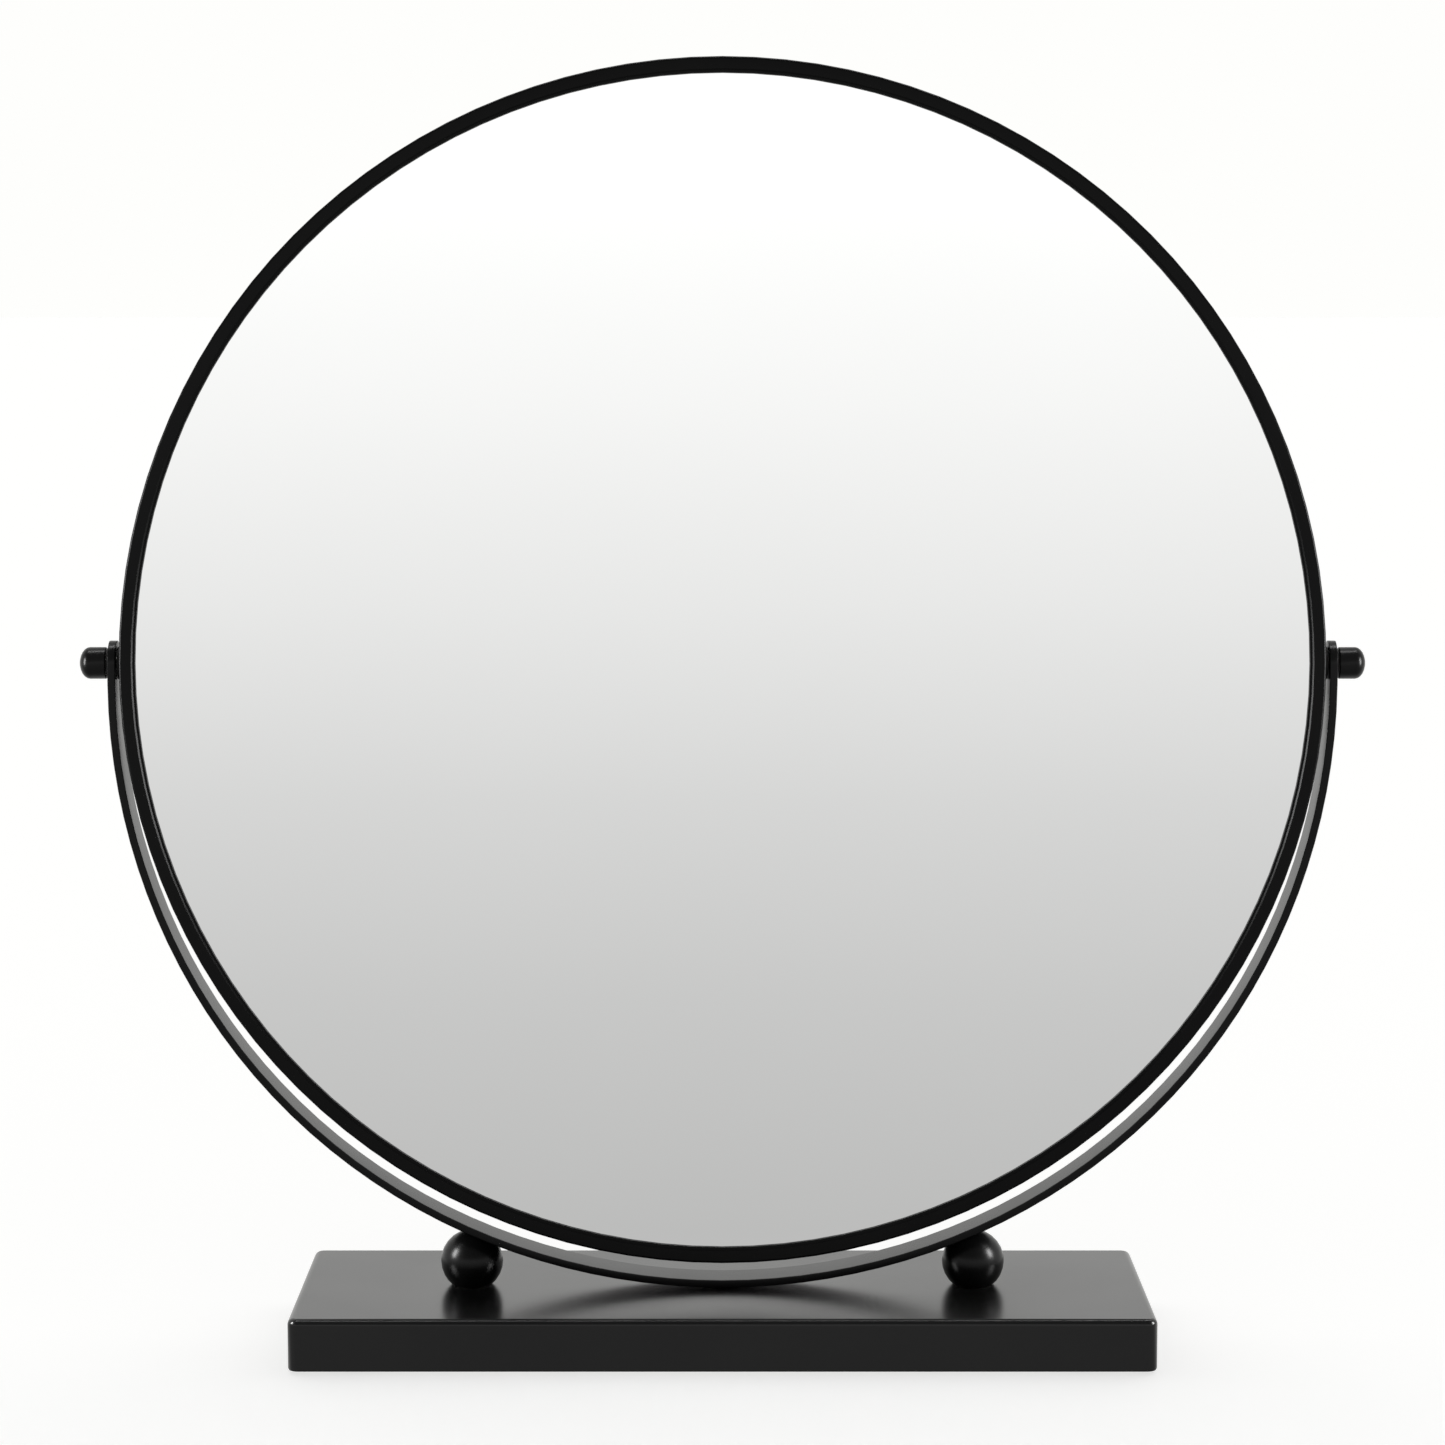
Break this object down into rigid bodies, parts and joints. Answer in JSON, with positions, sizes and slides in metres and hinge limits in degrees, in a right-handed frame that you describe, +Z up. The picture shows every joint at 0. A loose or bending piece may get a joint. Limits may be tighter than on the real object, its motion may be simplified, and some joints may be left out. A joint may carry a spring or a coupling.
{
  "type": "countertop mirror",
  "caption": "Round tilting mirror in a narrow rim, held by side knobs in a U-shaped strip yoke on a rectangular slab base, all black satin.",
  "frame": {"origin": "middle of the object's footprint on the table", "axes": "+Z up, -Y is the way the mirror faces, X along the tilt axis"},
  "size_m": [0.428, 0.1, 0.4296],
  "materials": {
    "black_satin": "black satin powder coat",
    "mirror_silver": "silvered glass",
    "zinc_steel": "zinc plated steel",
    "raw_iron": "raw casting",
    "dark_fibre": "dull black fibre",
    "grey_foam": "open foam",
    "black_rubber": "matt rubber"
  },
  "bodies": {
    "stand": {"base_shell": "black_satin", "base_bottom_plate": "zinc_steel", "base_ballast": "raw_iron", "yoke": "black_satin", "plate_screw_front_left": "zinc_steel", "foot_front_left": "black_rubber", "plate_screw_front_right": "zinc_steel", "foot_front_right": "black_rubber", "plate_screw_rear_left": "zinc_steel", "foot_rear_left": "black_rubber", "plate_screw_rear_right": "zinc_steel", "foot_rear_right": "black_rubber", "ball_left": "black_satin", "ball_dowel_left": "zinc_steel", "ball_right": "black_satin", "ball_dowel_right": "zinc_steel", "base_washer_left": "zinc_steel", "base_screw_left": "zinc_steel", "base_washer_centre": "zinc_steel", "base_screw_centre": "zinc_steel", "base_washer_right": "zinc_steel", "base_screw_right": "zinc_steel"},
    "mirror": {"rim": "black_satin", "mirror_glass": "mirror_silver", "foam_backing": "grey_foam", "back_panel": "black_satin", "panel_screw_1": "zinc_steel", "panel_screw_2": "zinc_steel", "panel_screw_3": "zinc_steel", "panel_screw_4": "zinc_steel", "panel_screw_5": "zinc_steel", "panel_screw_6": "zinc_steel", "pivot_nut_left": "zinc_steel", "spacer_left": "dark_fibre", "pivot_nut_right": "zinc_steel", "spacer_right": "dark_fibre"},
    "washer_left": {"knob_washer_left": "dark_fibre"},
    "knob_left": {"knob_left": "black_satin", "knob_screw_left": "zinc_steel"},
    "washer_right": {"knob_washer_right": "dark_fibre"},
    "knob_right": {"knob_right": "black_satin", "knob_screw_right": "zinc_steel"}
  },
  "joints": [
    {"name": "mirror_tilt", "type": "hinge", "parent": "stand", "child": "mirror", "pos_m": [0, 0, 0.2295], "axis": [1, 0, 0], "continuous": true},
    {"name": "knob_left_back_off", "type": "slide", "parent": "mirror", "child": "washer_left", "axis": [-1, 0, 0], "range_m": [0, 0.00141]},
    {"name": "knob_left_turn", "type": "hinge", "parent": "washer_left", "child": "knob_left", "pos_m": [-0.205, 0, 0.2295], "axis": [-1, 0, 0], "range_deg": [0, 720]},
    {"name": "knob_right_back_off", "type": "slide", "parent": "mirror", "child": "washer_right", "axis": [1, 0, 0], "range_m": [0, 0.00141]},
    {"name": "knob_right_turn", "type": "hinge", "parent": "washer_right", "child": "knob_right", "pos_m": [0.205, 0, 0.2295], "axis": [1, 0, 0], "range_deg": [0, 720]}
  ],
  "couplings": [
    {"joint": "knob_left_back_off", "follows": "knob_left_turn", "m_per_rad": 0.00011141},
    {"joint": "knob_right_back_off", "follows": "knob_right_turn", "m_per_rad": 0.00011141}
  ]
}
